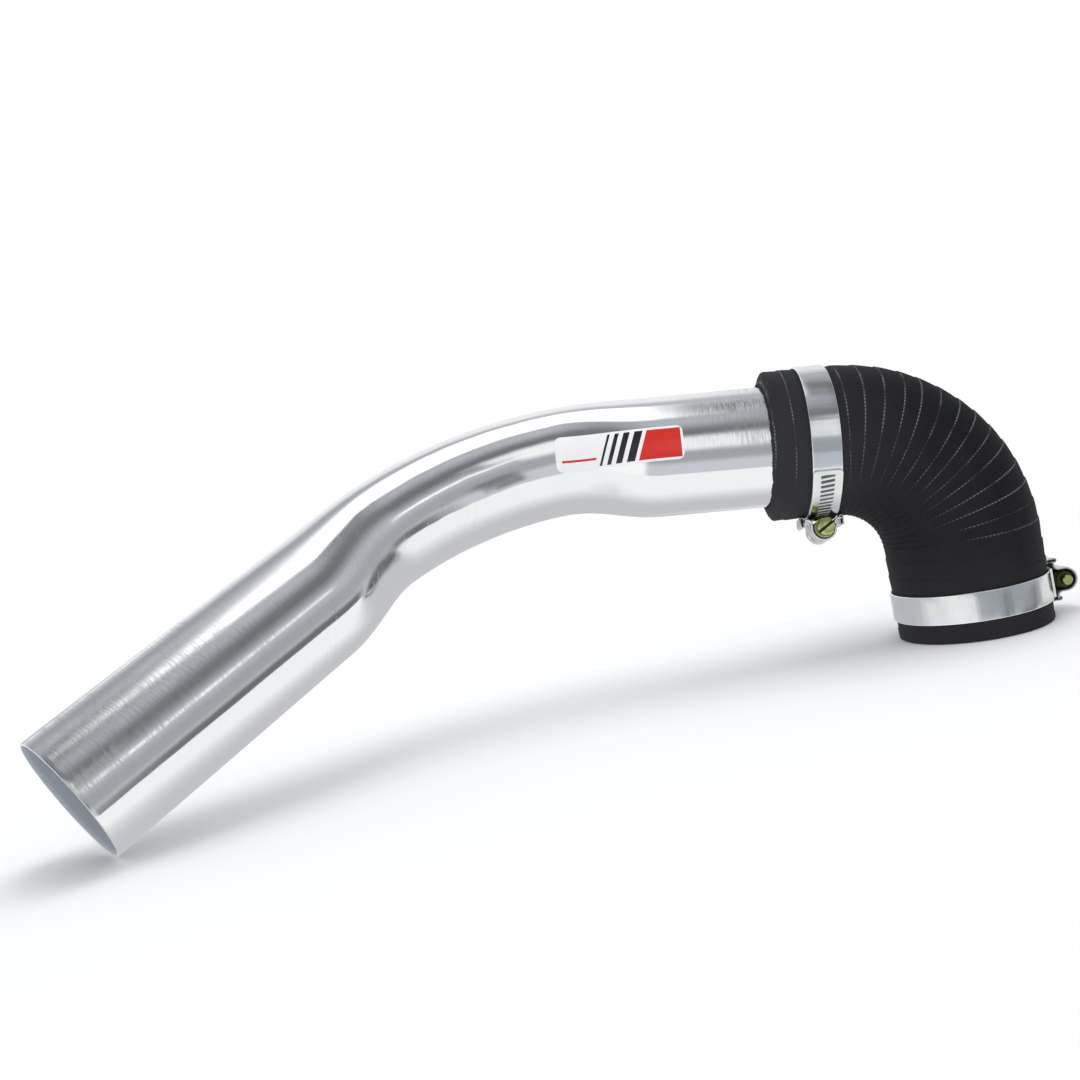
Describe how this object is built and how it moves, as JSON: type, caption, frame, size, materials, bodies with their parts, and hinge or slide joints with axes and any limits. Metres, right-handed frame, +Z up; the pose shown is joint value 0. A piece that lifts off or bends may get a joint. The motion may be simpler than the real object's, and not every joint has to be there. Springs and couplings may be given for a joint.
{
  "type": "car air intake",
  "caption": "Press-bent polished metal intake pipe pushed into a thick rubber elbow, held by worm-drive hose clamps, with the elbow's open end for a throttle body.",
  "frame": {"origin": "centre of the elbow's throttle mouth, on the face that the intake stands on", "axes": "+Z up along the throttle socket, away from the mouth; +X from the inlet end towards the elbow, along the longest extent"},
  "size_m": [0.405, 0.1667, 0.1259],
  "materials": {
    "polished_pipe": "hand-polished bare aluminium with fine scratches",
    "label_film": "printed vinyl film",
    "hose_rubber": "matte cloth-wrapped cured rubber",
    "zinc_band": "zinc-plated strip steel",
    "zinc_housing": "zinc-plated pressed steel",
    "yellow_zinc": "yellow-passivated zinc-plated steel"
  },
  "bodies": {
    "intake": {"intake_pipe": "polished_pipe", "label": "label_film", "rubber_elbow": "hose_rubber", "pipe_clamp_band": "zinc_band", "pipe_clamp_housing": "zinc_housing", "throttle_clamp_band": "zinc_band", "throttle_clamp_housing": "zinc_housing"},
    "pipe_clamp_worm": {"pipe_clamp_screw": "yellow_zinc"},
    "throttle_clamp_worm": {"throttle_clamp_screw": "yellow_zinc"}
  },
  "joints": [
    {"name": "pipe_clamp_screw_turn", "type": "hinge", "parent": "intake", "child": "pipe_clamp_worm", "pos_m": [-0.0585, -0.00779, 0.05378], "axis": [-0.0217, 0.9781, -0.2068], "continuous": true},
    {"name": "throttle_clamp_screw_turn", "type": "hinge", "parent": "intake", "child": "throttle_clamp_worm", "pos_m": [0.03745, 0, 0.014], "axis": [0, -1, 0], "continuous": true}
  ]
}
